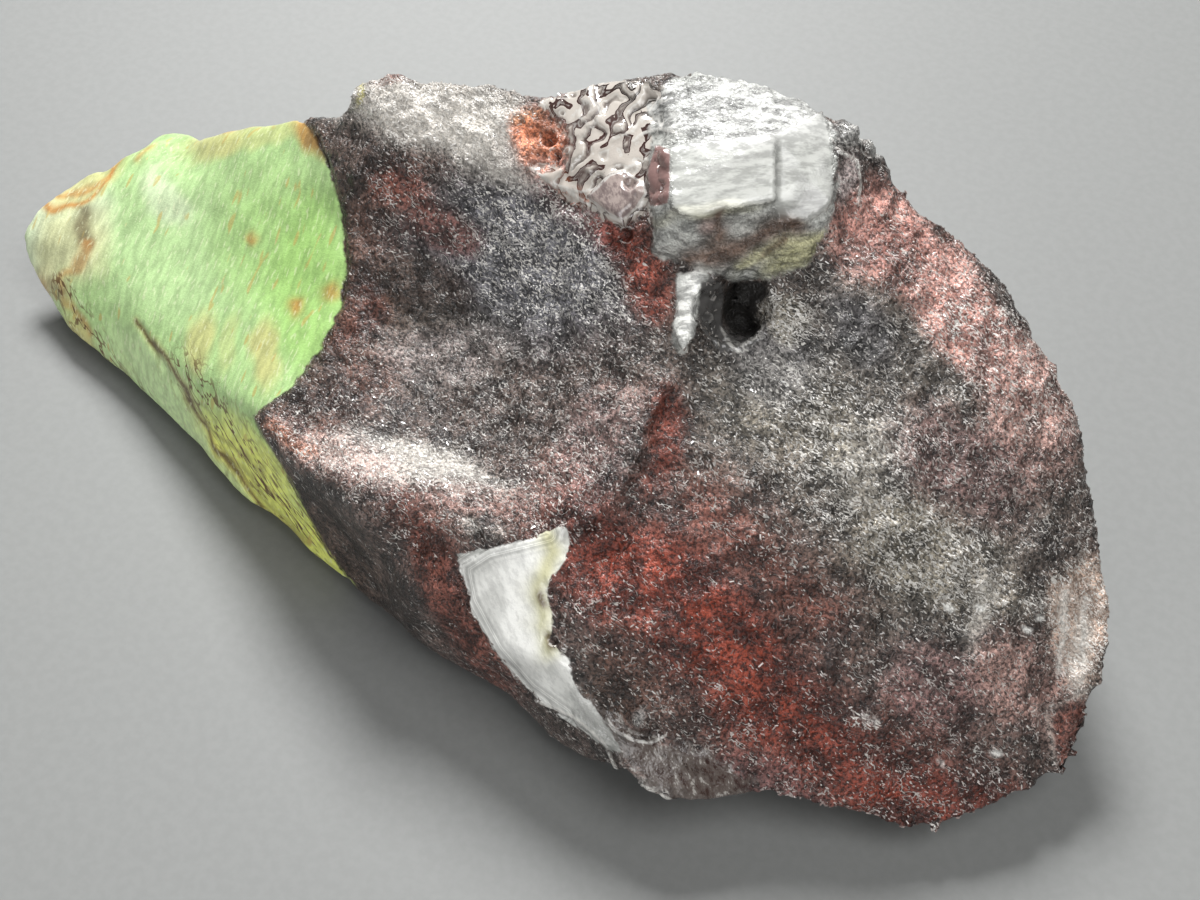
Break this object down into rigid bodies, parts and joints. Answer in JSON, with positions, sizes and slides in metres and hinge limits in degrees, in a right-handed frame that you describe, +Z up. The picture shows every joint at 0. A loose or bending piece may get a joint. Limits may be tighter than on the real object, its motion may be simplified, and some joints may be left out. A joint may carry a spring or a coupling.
{
  "type": "raw calcite specimen",
  "caption": "Rough hand-size lump of raw calcite: a thin green end, a dark, red and grey etched body, a clear cleaved block on top and a flat face below to rest on.",
  "frame": {"origin": "on the resting surface, under the middle of the stone's box", "axes": "+Z up from the resting surface, +X along the stone from its thin green end to its thick dark end, +Y towards its broken back"},
  "size_m": [0.1492, 0.0698, 0.0528],
  "materials": {
    "calcite": "etched translucent stone with a wet gloss and many small glints, pale green and smoother at the thin end, glassy on its cleaved faces"
  },
  "bodies": {
    "root": {"calcite": "calcite"}
  },
  "joints": []
}
